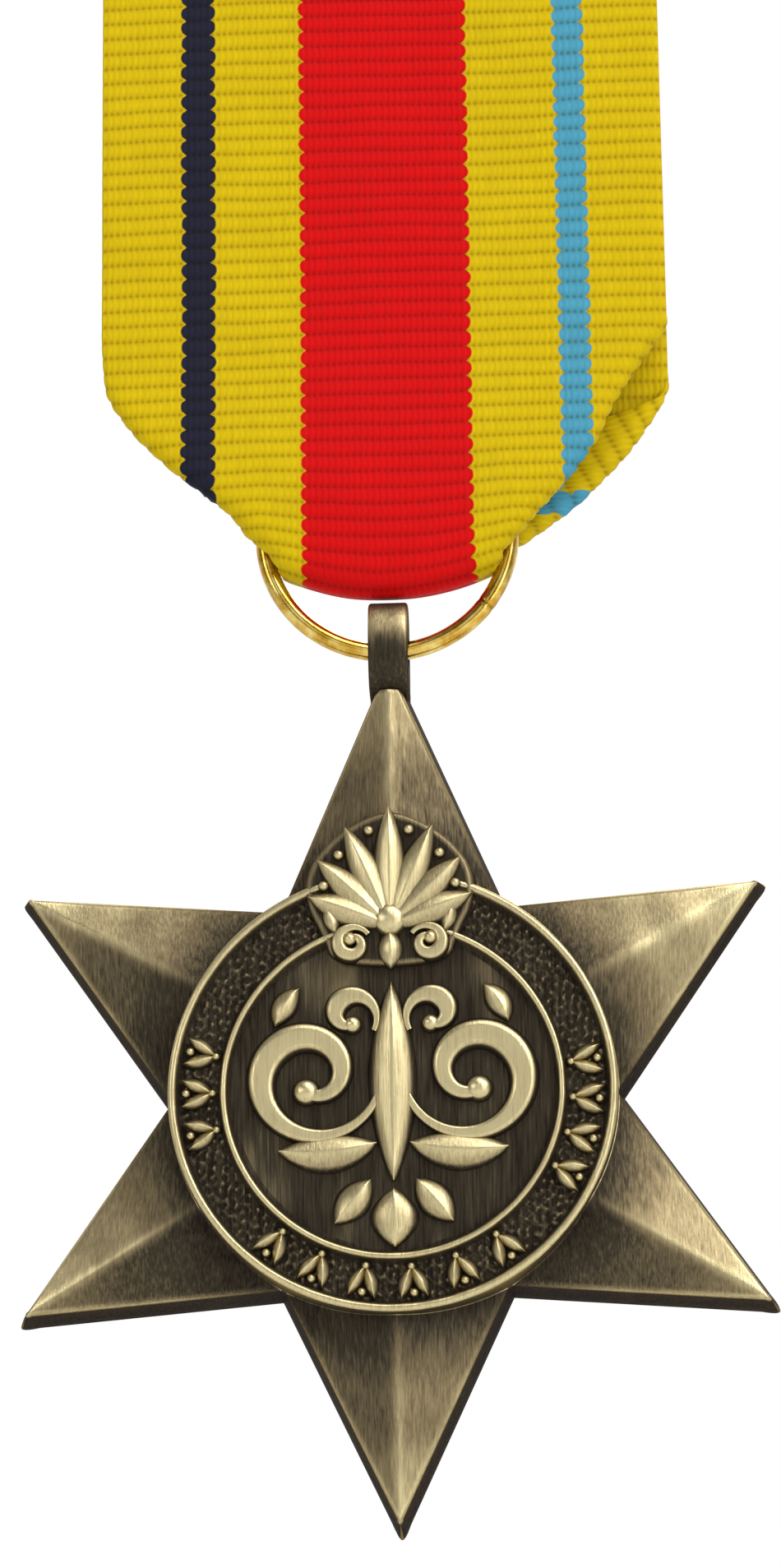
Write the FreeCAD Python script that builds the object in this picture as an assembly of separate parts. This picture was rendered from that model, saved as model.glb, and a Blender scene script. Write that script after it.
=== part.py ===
import FreeCAD, Part
import math
import os

# Military service medal: a six-pointed star on a lug and ring, hung by a ribbon from a brooch bar.
# Frame: +X to the viewer's right, +Z up, -Y towards the viewer. The origin is the middle of the
# brooch bar, in the plane in which the ribbon and the ring hang. All sizes are in millimetres.

V = FreeCAD.Vector

# ribbon
ribbon_width = 32.0
ribbon_thick = 0.5
layer_gap = 1.4            # between the front and back layers, where the ring runs
bend_z = -30.5             # level at which the hanging ribbon bends
bend_clear = 0.3           # running gap around the bend
fold_z = -47.2             # lowest point of the fold
fold_arc_r = 12.9          # the fold's bottom is a shallow arc
fold_half = 4.6            # half width of the fold inside the ring

# brooch
bar_width = 36.0
bar_height = 6.0
pin_r = 0.45
pin_y = 3.1                # the pin lies behind the bar
pivot_x = -17.1
pivot_r = 0.5
pivot_fit = 0.05           # radial running clearance of the pin's eye on the rivet
eye_r = 1.05
eye_half = 0.8
ear_thick = 0.5
ear_gap = 0.2
catch_x = 17.0
pin_tip_x = 18.7
pin_straight_x = 15.8

# ring
ring_z = -43.7
ring_mean_r = 6.9
wire_r = 0.5

# lug
lug_width = 2.2
lug_hole_r = 0.8
lug_hole_z = -50.65        # the ring's lowest wire runs through this hole
lug_front_y = -1.4
lug_top_h = 2.8            # height of the lug's top over the ring's wire
lug_base_z = -52.9         # where it stands on the star's cut-off top point
lug_foot_z = -56.4
lug_foot_thick = 0.8

# star
star_z = -76.0             # level of the star's centre
star_back_y = 1.8
tip_r = 23.1
top_tip_r = 24.6           # the top arm is a little slimmer, and cut off at tip_r
notch_r = 12.05
edge_h = 2.4               # thickness at the outline
draft = 0.2                # the outline grows by this much towards the back
ridge_rise = 2.74          # what the arms' ridges would rise by at the centre
roundel_r = 12.15
floor_h = 3.95
rim_h = 4.5
outer_rim = 0.6
inner_rim_r = 9.35
inner_rim = 0.55
relief_h = 4.55
crest_h = 4.95


def polar(r, deg):
    a = math.radians(deg)
    return V(r * math.cos(a), r * math.sin(a), 0)


def box(x0, x1, y0, y1, z0, z1):
    return Part.makeBox(x1 - x0, y1 - y0, z1 - z0, V(x0, y0, z0))


def extrude_y(points, y0, y1):
    """Solid from an outline of (x, z) points between two y levels."""
    wire = Part.makePolygon([V(x, y0, z) for x, z in points + points[:1]])
    return Part.Face(wire).extrude(V(0, y1 - y0, 0))


def raised(points, h0, h1):
    """Solid from a flat outline, in the star's own frame where +Z is the height."""
    wire = Part.makePolygon([V(p.x, p.y, h0) for p in points + points[:1]])
    return Part.Face(wire).extrude(V(0, 0, h1 - h0))


def disc(r, h0, h1, at=V(0, 0, 0)):
    return Part.makeCylinder(r, h1 - h0, V(at.x, at.y, h0))


def fuse_all(shapes):
    return shapes[0].multiFuse(shapes[1:]).removeSplitter()


def save(shape, name):
    if shape.ShapeType == "Compound" and len(shape.Solids) == 1:
        shape = shape.Solids[0]
    print(name, shape.ShapeType, len(shape.Solids), shape.isValid(), round(shape.Volume, 2))
    shape.exportStep("parts/" + name + ".step")


# ---------------------------------------------------------------- star

def spiral(cx, cy, r0, r1, a0, a1, n=28):
    """Points on a spiral whose radius goes from r0 to r1 as its angle goes from a0 to a1."""
    pts = []
    for i in range(n + 1):
        t = i / n
        pts.append(V(cx, cy, 0) + polar(r0 + (r1 - r0) * t, a0 + (a1 - a0) * t))
    return pts


def stroke(points, width, h1, taper=0.25):
    """A raised stroke along a curve, full width in the middle and narrow at both ends."""
    left = []
    right = []
    last = len(points) - 1
    for i, p in enumerate(points):
        ahead = points[min(i + 1, last)] - points[max(i - 1, 0)]
        side = V(-ahead.y, ahead.x, 0).normalize()
        half = 0.5 * width * (taper + (1 - taper) * math.sin(math.pi * i / last) ** 0.6)
        left.append(p + side * half)
        right.append(p - side * half)
    return raised(left + right[::-1], floor_h - 0.2, h1)


def leaf(at, length, width, deg, h1):
    """A pointed leaf lying along the direction deg, starting at the point at."""
    n = 8
    top = []
    low = []
    for i in range(n + 1):
        t = i / n
        half = 0.5 * width * math.sin(math.pi * t)
        along = polar(length * t, deg)
        side = polar(half, deg + 90)
        if 0 < i < n:
            top.append(at + along + side)
            low.append(at + along - side)
        else:
            top.append(at + along)
    return raised(top + low[::-1], floor_h - 0.2, h1)


def mirrored(shape):
    return shape.mirror(V(0, 0, 0), V(1, 0, 0))


def star_blank():
    """Six drafted arms whose ridges rise towards the centre. The top one is cut off for the lug."""
    front = []
    back = []
    for k in range(12):
        deg = 90 + 30 * k
        reach = top_tip_r if k in (0, 1, 11) else tip_r
        tip_half = math.atan2(notch_r * 0.5, reach - notch_r * math.cos(math.radians(30)))
        grow = draft / math.sin(tip_half) if k % 2 == 0 else draft / math.cos(math.radians(60) - tip_half)
        r = reach if k % 2 == 0 else notch_r
        front.append(polar(r, deg) + V(0, 0, edge_h))
        back.append(polar(r + grow, deg))
    peak = V(0, 0, edge_h + ridge_rise)
    faces = []
    for k in range(12):
        j = (k + 1) % 12
        faces.append(Part.Face(Part.makePolygon([V(), back[j], back[k], V()])))
        faces.append(Part.Face(Part.makePolygon([back[k], back[j], front[j], back[k]])))
        faces.append(Part.Face(Part.makePolygon([back[k], front[j], front[k], back[k]])))
        faces.append(Part.Face(Part.makePolygon([front[k], front[j], peak, front[k]])))
    solid = Part.makeSolid(Part.makeShell(faces))
    if solid.Volume < 0:
        solid.reverse()
    return solid.cut(box(-5, 5, tip_r, 30, -1, 9)).removeSplitter()


def crest():
    """A fan of leaves rising from two small volutes, over the top of the roundel."""
    right = [(3.1, 6.9), (3.7, 8.6), (4.6, 10.4), (4.4, 12.4), (3.1, 14.0), (1.5, 15.0)]
    outline = [V(x, z, 0) for x, z in right + [(0, 15.5)]]
    outline += [V(-x, z, 0) for x, z in right[::-1]]
    pieces = [raised(outline, 2.6, crest_h - 0.4)]
    volute = stroke(spiral(2.05, 8.0, 1.0, 0.3, 150, -300, 30), 0.75, crest_h)
    pieces += [volute, mirrored(volute)]
    for k in range(-3, 4):
        pieces.append(leaf(V(0, 9.0, 0), 6.7 - 0.65 * abs(k), 1.35, 90 + 23 * k, crest_h - 0.05))
    pieces.append(disc(0.95, 3.6, crest_h + 0.05, V(0, 9.3, 0)))
    pieces.append(leaf(V(0, 6.6, 0), 2.2, 1.2, 90, crest_h - 0.1))
    return pieces


def scrollwork():
    """A symmetric flourish on the inner disc: volutes, curls, leaves, a spear leaf and a lozenge."""
    half = [
        stroke(spiral(4.35, 0.8, 3.75, 0.9, -165, 290, 44), 1.5, relief_h),
        stroke(spiral(2.2, 4.1, 1.5, 0.5, 215, -100, 24), 1.1, relief_h),
        leaf(V(0.9, -2.9, 0), 5.3, 1.7, -18, relief_h),
        leaf(V(1.2, -4.9, 0), 3.1, 1.4, -50, relief_h),
        leaf(V(6.3, 3.6, 0), 2.5, 1.1, 105, relief_h),
    ]
    pieces = [leaf(V(0, -5.0, 0), 10.9, 2.0, 90, relief_h + 0.05)]
    pieces.append(raised([V(0, -8.6, 0), V(1.0, -7.0, 0), V(0, -5.4, 0), V(-1.0, -7.0, 0)],
                         floor_h - 0.2, relief_h))
    for shape in half:
        pieces.append(shape)
        pieces.append(mirrored(shape))
    return pieces


def sprigs():
    """Small twin-leaf sprigs around the annulus, in groups on the left, the bottom and the right."""
    mid_r = 0.5 * (inner_rim_r + roundel_r - outer_rim)
    left = [168, 180, 192]
    bottom = [232 + 14.4 * k for k in range(6)]
    right = [-27, -15.5, -4, 7.5]
    pieces = []
    for deg in left + bottom + right:
        root = polar(mid_r - 0.75, deg)
        pieces.append(disc(0.22, floor_h - 0.2, relief_h - 0.05, root))
        for lean in (-28, 28):
            pieces.append(leaf(root, 1.75, 0.55, deg + lean, relief_h - 0.1))
        pieces.append(disc(0.28, floor_h - 0.2, relief_h - 0.15, polar(mid_r + 0.7, deg)))
    return pieces


def star():
    blank = star_blank().cut(disc(roundel_r - 0.05, floor_h - 0.6, 8))
    roundel = disc(roundel_r, 0.4, floor_h)
    rims = [
        disc(roundel_r, floor_h - 0.3, rim_h).cut(disc(roundel_r - outer_rim, floor_h, 8)),
        disc(inner_rim_r, floor_h - 0.3, rim_h).cut(disc(inner_rim_r - inner_rim, floor_h, 8)),
    ]
    body = fuse_all([blank, roundel] + rims + crest() + scrollwork() + sprigs())
    # the lug's foot is let in flush with the back
    foot = box(-lug_width / 2, lug_width / 2, lug_foot_z - star_z, 40, -1, lug_foot_thick)
    body = body.cut(foot)
    body.rotate(V(0, 0, 0), V(1, 0, 0), 90)
    body.translate(V(0, star_back_y, star_z))
    return body


# ---------------------------------------------------------------- lug and ring

def lug():
    """A cast ear, drilled for the ring, with a foot let into the star's back."""
    wire_z = ring_z - ring_mean_r
    foot_y = star_back_y - lug_foot_thick
    outline = [
        (-0.25, lug_base_z),
        (lug_front_y + 0.1, wire_z - 0.9),
        (lug_front_y, wire_z + 0.1),
        (lug_front_y + 0.4, wire_z + 2.0),
        (-0.3, wire_z + lug_top_h - 0.1),
        (0.5, wire_z + lug_top_h),
        (1.25, wire_z + 2.3),
        (star_back_y, wire_z + 1.1),
        (star_back_y, lug_foot_z),
        (foot_y, lug_foot_z),
        (foot_y, lug_base_z),
    ]
    x0 = -lug_width / 2
    wire = Part.makePolygon([V(x0, y, z) for y, z in outline + outline[:1]])
    body = Part.Face(wire).extrude(V(lug_width, 0, 0))
    return body.cut(Part.makeCylinder(lug_hole_r, 10, V(-5, 0, lug_hole_z), V(1, 0, 0)))


def ring():
    return Part.makeTorus(ring_mean_r, wire_r, V(0, 0, ring_z), V(0, 1, 0))


# ---------------------------------------------------------------- ribbon

inner_y = layer_gap / 2
outer_y = inner_y + ribbon_thick
half_w = ribbon_width / 2


def bend_cylinder(r, length):
    return Part.makeCylinder(r, length, V(-length / 2, 0, bend_z), V(1, 0, 0))


def stitching():
    """One running stitch through both layers below the bar: legs joined by dashes in turn."""
    count = 16
    pitch = 1.9
    z = -5.0
    t = 0.3
    proud = 0.15
    start = -0.5 * pitch * (count - 1)
    pieces = []
    for k in range(count):
        x = start + pitch * k
        pieces.append(box(x - t / 2, x + t / 2, -outer_y - proud, outer_y + proud, z - t / 2, z + t / 2))
        if k < count - 1:
            y0, y1 = (-outer_y - proud, -outer_y) if k % 2 == 0 else (outer_y, outer_y + proud)
            pieces.append(box(x - t / 2, x + pitch + t / 2, y0, y1, z - t / 2, z + t / 2))
    return fuse_all(pieces)


def ribbon_upper(thread):
    """Two hanging layers joined over the top of the bar."""
    top = bar_height / 2 + ribbon_thick
    body = box(-half_w, half_w, -outer_y, outer_y, bend_z, top)
    crown_edges = [e for e in body.Edges if abs(e.CenterOfMass.z - top) < 0.01 and abs(e.CenterOfMass.x) < 0.01]
    body = body.makeFillet(0.45, crown_edges)
    body = body.cut(box(-half_w - 1, half_w + 1, -inner_y, inner_y, bend_z - 1, bar_height / 2))
    body = body.cut(bend_cylinder(outer_y + bend_clear, ribbon_width + 4))
    return body.cut(thread)


def ribbon_lower():
    """The tapering end: front and back layers with folded corners, joined by the fold's round bottom."""
    arc_c = fold_z + fold_arc_r
    half_deg = math.degrees(math.asin(fold_half / fold_arc_r))
    plate_r = fold_arc_r - outer_y

    def on_arc(deg):
        a = math.radians(deg)
        r = plate_r + 0.1
        return (r * math.sin(a), arc_c - r * math.cos(a))

    edge = [on_arc(half_deg * (k / 6 - 1)) for k in range(13)]
    right = [(7.7, 1.7), (10.6, 4.6), (13.4, 7.6), (15.3, 10.2), (half_w, 12.2)]
    left = [(-half_w, 15.2), (-15.2, 12.4), (-12.9, 10.0), (-9.5, 6.7), (-7.9, 4.6), (-6.6, 2.4)]
    outline = edge + [(5.4, fold_z + 1.35)]
    outline += [(x, fold_z + z) for x, z in right]
    outline += [(half_w, bend_z), (-half_w, bend_z)]
    outline += [(x, fold_z + z) for x, z in left]
    outline += [(-5.3, fold_z + 1.35)]
    front = extrude_y(outline, -outer_y, -inner_y)
    back = extrude_y(outline, inner_y, outer_y)
    # half a tube, swept along the shallow arc
    ring_face = Part.Face(Part.makePolygon([
        V(0, -outer_y, arc_c - plate_r), V(0, outer_y, arc_c - plate_r),
        V(0, outer_y, arc_c - plate_r - 2), V(0, -outer_y, arc_c - plate_r - 2),
        V(0, -outer_y, arc_c - plate_r)]))
    tube = Part.makeCylinder(outer_y, 1, V(0, 0, arc_c - plate_r), V(1, 0, 0))
    bore = Part.makeCylinder(inner_y, 1, V(0, 0, arc_c - plate_r), V(1, 0, 0))
    profile = [f for f in tube.cut(bore).Faces if abs(f.CenterOfMass.x) < 1e-6][0].common(ring_face)
    profile.rotate(V(0, 0, arc_c), V(0, 1, 0), half_deg)
    bottom = profile.Faces[0].revolve(V(0, 0, arc_c), V(0, 1, 0), -2 * half_deg)
    knuckle = bend_cylinder(outer_y, ribbon_width)
    return fuse_all([front, back, bottom, knuckle])


# ---------------------------------------------------------------- brooch

def bar():
    body = box(-bar_width / 2, bar_width / 2, -inner_y, inner_y, -bar_height / 2, bar_height / 2)
    corners = [e for e in body.Edges if abs(e.CenterOfMass.y) < 0.01 and abs(e.Length - layer_gap) < 0.01]
    return body.makeFillet(0.9, corners)


def bracket():
    """A base on the bar's back with two ears that hold the rivet."""
    ear_in = eye_half + ear_gap
    ear_out = ear_in + ear_thick
    base = box(pivot_x - 0.9, pivot_x + 0.9, inner_y, inner_y + 0.5, -ear_out, ear_out)
    pieces = [base]
    for z0 in (ear_in, -ear_out):
        pieces.append(box(pivot_x - 0.9, pivot_x + 0.9, inner_y, pin_y, z0, z0 + ear_thick))
        pieces.append(Part.makeCylinder(0.9, ear_thick, V(pivot_x, pin_y, z0)))
    hole = Part.makeCylinder(pivot_r, 20, V(pivot_x, pin_y, -10))
    return fuse_all(pieces).cut(hole)


def rivet():
    reach = eye_half + ear_gap + ear_thick
    shank = Part.makeCylinder(pivot_r, 2 * reach, V(pivot_x, pin_y, -reach))
    top = Part.makeCylinder(0.8, 0.3, V(pivot_x, pin_y, reach))
    low = Part.makeCylinder(0.8, 0.3, V(pivot_x, pin_y, -reach - 0.3))
    return fuse_all([shank, top, low])


def pin():
    """A straight pin with an eye at one end and a sharp point at the other."""
    eye = Part.makeCylinder(eye_r, 2 * eye_half, V(pivot_x, pin_y, -eye_half))
    wire = Part.makeCylinder(pin_r, pin_straight_x - pivot_x, V(pivot_x, pin_y, 0), V(1, 0, 0))
    point = Part.makeCone(pin_r, 0.06, pin_tip_x - pin_straight_x, V(pin_straight_x, pin_y, 0), V(1, 0, 0))
    hole = Part.makeCylinder(pivot_r + pivot_fit, 20, V(pivot_x, pin_y, -10))
    return fuse_all([eye, wire, point]).cut(hole)


def catch():
    """A slotted post on the bar's back: the pin's point lies between its two prongs."""
    x0 = catch_x - 0.6
    x1 = catch_x + 0.6
    slot = 0.65
    prong = 0.5
    reach = slot + prong
    post = box(x0, x1, inner_y, 4.0, -reach, reach)
    tips = [e for e in post.Edges if abs(e.CenterOfMass.y - 4.0) < 0.01 and abs(e.Length - 1.2) < 0.01]
    post = post.makeFillet(0.35, tips)
    return post.cut(box(x0 - 1, x1 + 1, pin_y - 0.75, 6, -slot, slot))


os.makedirs("parts", exist_ok=True)
thread = stitching()
save(star(), "star")
save(lug(), "suspension_lug")
save(ring(), "suspension_ring")
save(ribbon_upper(thread), "ribbon_upper")
save(ribbon_lower(), "ribbon_lower")
save(thread, "ribbon_stitching")
save(bar(), "brooch_plate")
save(bracket(), "hinge_bracket")
save(rivet(), "hinge_rivet")
save(pin(), "brooch_pin")
save(catch(), "pin_catch")
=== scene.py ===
import math

import bpy
import numpy as np
from mathutils import Matrix, Vector


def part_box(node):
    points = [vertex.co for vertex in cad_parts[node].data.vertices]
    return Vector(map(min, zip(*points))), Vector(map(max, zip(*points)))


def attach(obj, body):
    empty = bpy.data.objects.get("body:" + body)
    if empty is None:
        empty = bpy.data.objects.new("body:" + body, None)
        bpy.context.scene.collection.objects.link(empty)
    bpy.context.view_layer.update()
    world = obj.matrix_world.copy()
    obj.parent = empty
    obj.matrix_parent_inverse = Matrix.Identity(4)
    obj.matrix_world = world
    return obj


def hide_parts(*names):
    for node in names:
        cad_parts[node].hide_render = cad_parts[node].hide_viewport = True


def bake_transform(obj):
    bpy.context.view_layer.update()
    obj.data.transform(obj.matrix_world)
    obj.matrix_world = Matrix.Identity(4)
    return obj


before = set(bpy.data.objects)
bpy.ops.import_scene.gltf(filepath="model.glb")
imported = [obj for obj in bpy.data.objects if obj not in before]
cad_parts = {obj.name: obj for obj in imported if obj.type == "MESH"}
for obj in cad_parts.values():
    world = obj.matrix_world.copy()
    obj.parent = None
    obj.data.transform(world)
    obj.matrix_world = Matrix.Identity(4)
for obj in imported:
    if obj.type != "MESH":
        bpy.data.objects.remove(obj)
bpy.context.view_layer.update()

MM = 0.001

# ------------------------------------------------------------------ sizes (mm)

# star; all but its draft and the crest's plate as in the CAD
TIP_R = 23.1               # from the star's middle to its points
TOP_REACH = 24.6           # where the top arm's edges would meet if it weren't cut off
NOTCH_R = 12.05            # from the star's middle to the corners between its arms
EDGE_H = 2.4               # the outline's height above the star's back
RIDGE = 2.74               # how far the ridges would rise above the outline at the star's middle
ROUNDEL_R = 12.15
INNER_RIM_R = 9.35         # outside of the rim round the inner field
FIELD_R = 8.6              # the smooth inner field
FLOOR_H = 3.95
RIM_H = 4.5
RELIEF_H = 4.55
RELIEF_FOOT = FLOOR_H - 0.05    # struck lines start a little under the floor
CREST_H = 4.95
CREST_PLATE_H = 4.5        # edge of the low plate under the crest
DRAFT = 0.38               # how far the outline's side flares out towards the back
DISC_R, DISC_H = 11.0, 0.03     # flat disc that closes the roundel's back

# painted light and shade on each facet, by its arm's direction: anticlockwise side, clockwise side
FACET_LIGHT = {30: (1.2, 1.15), 90: (0.62, 0.6), 150: (0.56, 1.05),
          210: (0.4, 1.05), 270: (0.9, 0.6), 330: (1.08, 0.55)}
# painted shade up the outline's side, from the corner at the back to the edge of the face, which is rubbed
# bright
SIDE_SHADE_AND_WEAR = [0.2, 0.1, 0.05, 0.05, 0.1, 0.8]

# ring and lug
WIRE_R = 0.5               # the ring's wire
LUG_HOLE_R = 0.8
LUG_RAISE = 0.15           # the lug's top stands this much above the CAD's, close under the ribbon

# ribbon
HALF_W = 16.0
THICK = 0.36
RIB = 0.94                 # spacing of the woven ribs
RIB_STEPS = 5              # rows of the mesh to one rib
RIB_H = 0.085              # from groove to crown
LAYER_Y = 0.95             # middle of each hanging layer from the hanging plane
LAP_Y = 1.42               # the same for the lap behind the bar
LAP = 9.4                  # length of the lap, from the seam's end up to the turn over the bar
TURN_Z = 2.75              # height at which the turn over the bar starts
TURN_R = 0.5 * (LAYER_Y + LAP_Y)
BACK_END = 4.2             # the back layer ends this far below the turn, under the lap
BEND_R = 1.25              # radius of the fold inside the ring
ROLL = 0.34                # depth radius of the pleats' soft creases

# thread
STITCHES = 15
STITCH_PITCH = 1.9
THREAD_R = 0.15

# ------------------------------------------------------------------ places read from the frame (mm)

def box_mm(node):
    return [np.array(c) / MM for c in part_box(node)]


star_hi = box_mm("star")[1]
ring_lo, ring_hi = box_mm("suspension_ring")
lower_lo, lower_hi = box_mm("ribbon_lower")
lug_lo, lug_hi = box_mm("suspension_lug")
stitch_lo, stitch_hi = box_mm("ribbon_stitching")
STAR_Z = star_hi[2] - TIP_R
STAR_BACK = star_hi[1]
RING_Z = 0.5 * (ring_lo[2] + ring_hi[2])
RING_R = 0.5 * (ring_hi[0] - ring_lo[0]) - WIRE_R
FOLD_Z = lower_lo[2]
FRONT_LEN = TURN_Z - FOLD_Z - BEND_R       # each hanging layer, from the turn down to the fold


# ------------------------------------------------------------------ mesh helpers

class Build:
    """Collects vertices (mm), faces and one value per vertex of wear together with painted light and shade,
    and makes one mesh object.
    """

    def __init__(self):
        self.verts, self.faces, self.wear, self.count = [], [], [], 0

    def add(self, verts, faces, wear):
        verts = np.asarray(verts, float).reshape(-1, 3)
        wear = np.broadcast_to(np.asarray(wear, float), (len(verts),))
        self.verts.append(verts)
        self.wear.append(wear)
        self.faces += [[i + self.count for i in f] for f in faces]
        self.count += len(verts)

    def grid(self, points, wear, wrap_rows=False, wrap_cols=False, flip=False):
        """Faces between neighbouring points; points is (rows, cols, 3)."""
        rows, cols = points.shape[:2]
        faces = []
        for i in range(rows if wrap_rows else rows - 1):
            for j in range(cols if wrap_cols else cols - 1):
                i2, j2 = (i + 1) % rows, (j + 1) % cols
                f = [i * cols + j, i * cols + j2, i2 * cols + j2, i2 * cols + j]
                faces.append(f[::-1] if flip else f)
        self.add(points, faces, np.ravel(wear) if np.ndim(wear) else wear)

    def make(self, name):
        mesh = bpy.data.meshes.new(name)
        mesh.from_pydata((np.concatenate(self.verts) * MM).tolist(), [], self.faces)
        mesh.validate()
        # the wear value holds real wear and patina together with painted light and shade
        layer = mesh.attributes.new("wear", "FLOAT", "POINT")
        layer.data.foreach_set("value", np.concatenate(self.wear).astype(np.float32))
        return add_object(name, mesh)


def add_object(name, mesh):
    """Puts a smooth-shaded mesh in the scene."""
    mesh.polygons.foreach_set("use_smooth", [True] * len(mesh.polygons))
    obj = bpy.data.objects.new(name, mesh)
    bpy.context.scene.collection.objects.link(obj)
    return obj


def to_world(x, z, h):
    """The star's own x, z and height above its back, to the frame, in mm."""
    x, z, h = np.broadcast_arrays(np.asarray(x, float), np.asarray(z, float), np.asarray(h, float))
    return np.stack([x, STAR_BACK - h, STAR_Z + z], -1)


def smooth(t):
    """0 to 1 with an easy start and end."""
    t = np.clip(t, 0, 1)
    return t * t * (3 - 2 * t)


def wobble(x, z, scale, seed):
    """A cheap smooth noise from a few sines, about -1 to 1."""
    draw = np.random.default_rng(seed)
    out = np.zeros(np.broadcast(x, z).shape)
    for _ in range(7):
        a, phase = draw.uniform(0, 2 * math.pi, 2)
        f = scale * draw.uniform(0.6, 1.6)
        out = out + np.sin((x * math.cos(a) + z * math.sin(a)) * f + phase)
    return out / 3.2


# ------------------------------------------------------------------ star

def arm(build, deg, reach, cut_off=False):
    """One ridged arm, from inside the roundel to its tip, which is blunted or cut off square."""
    notch_d = NOTCH_R * math.cos(math.radians(30))
    tan_half = NOTCH_R * 0.5 / (reach - notch_d)
    start, end = notch_d - 0.35, TIP_R
    nose_start, nose_len = end - 0.3, 0.24
    # rows run outwards: distance, half width, how far the top drops, and 0 to 1 round a blunt tip
    rows = np.concatenate([np.linspace(start, end - 1.2, 56), np.linspace(end - 1.1, nose_start, 7)])
    widths = (reach - rows) * tan_half
    drop = np.zeros(len(rows))
    if cut_off:
        last = np.array([end - 0.12, end - 0.04, end])
        rows = np.concatenate([rows, last])
        widths = np.concatenate([widths, (reach - last) * tan_half - [0, 0.03, 0.1]])
        drop = np.concatenate([drop, [0, 0.03, 0.12]])
        blunt = np.zeros(len(rows))
    else:
        nose = np.linspace(0.15, 1, 6)
        blunt = np.concatenate([np.zeros(len(rows)), nose])
        rows = np.concatenate([rows, nose_start + nose_len * nose])
        widths = np.concatenate([widths, widths[-1] * np.sqrt(np.maximum(1 - nose ** 2, 0.0004))])
        drop = np.concatenate([drop, 0.1 * nose ** 2])
    # u runs across the arm from -1 to 1, closer together at the edges and at the ridge
    u = np.concatenate([np.linspace(-1, -0.9, 3)[:-1], np.linspace(-0.9, -0.12, 9)[:-1],
                        np.linspace(-0.12, 0.12, 9), np.linspace(0.12, 0.9, 9)[1:],
                        np.linspace(0.9, 1, 3)[1:]])
    # painted light and shade of this arm's two facets
    left_lit, right_lit = FACET_LIGHT[deg % 360]
    lit = right_lit + (left_lit - right_lit) * smooth((u + 0.03) / 0.06)
    points, wear = [], []
    for d, w, low, tip in zip(rows, widths, drop, blunt):
        flare = DRAFT * (1 - 0.8 * tip)
        rise = RIDGE * max(1 - d / reach, 0.0)
        soft = 0.24 / max(w, 0.3)
        bend = np.sqrt(u * u + soft * soft) - soft
        top = EDGE_H + rise * (1 - bend) + 0.025 * wobble(d + 0 * u, u * w + deg, 1.6, 3) - low
        top = top - 0.05 * smooth((np.abs(u) - 0.93) / 0.07)
        across = u * max(w - 0.1, 0.02)
        side = [(-w - 0.5 * flare, 0.0), (-w - 0.9 * flare, 0.06), (-w - flare, 0.3),
                (-w - 0.7 * flare, 1.0), (-w - 0.1 * flare, EDGE_H - 0.4), (-w, EDGE_H - 0.12)]
        back = [(a * max(w - 0.1, 0.01), 0.0) for a in np.linspace(0.85, -0.85, 5)]
        loop = side + list(zip(across, top)) + [(-a, h) for a, h in side[::-1]] + back
        # a blunt tip's side is drawn outwards towards the back
        points.append([(d + 1.6 * DRAFT * tip * max(1 - h / EDGE_H, 0), a, h) for a, h in loop])
        # each facet gets painted light and shade by its arm's direction; the ridge and the arm's outer end
        # are rubbed bright, the outline's edge is rubbed bright with a painted highlight, and the outline's
        # side carries painted shade
        ridge = np.exp(-(u * w / 0.3) ** 2)
        rim = np.exp(-((1 - np.abs(u)) * w / 0.13) ** 2)
        shade = 0.52 * lit + 0.32 * ridge + 0.3 * rim + 0.22 * smooth((d - 17) / 5)
        wear.append(SIDE_SHADE_AND_WEAR + list(np.clip(shade, 0, 1)) + SIDE_SHADE_AND_WEAR[::-1] + [0.35] * len(back))
    p = np.array(points)
    a = math.radians(deg)
    x = p[..., 0] * math.cos(a) - p[..., 1] * math.sin(a)
    z = p[..., 0] * math.sin(a) + p[..., 1] * math.cos(a)
    world = to_world(x, z, p[..., 2])
    build.grid(world, np.array(wear), wrap_cols=True)
    build.add(world[-1], [list(range(len(world[-1])))[::-1]], 0.5)


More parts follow.
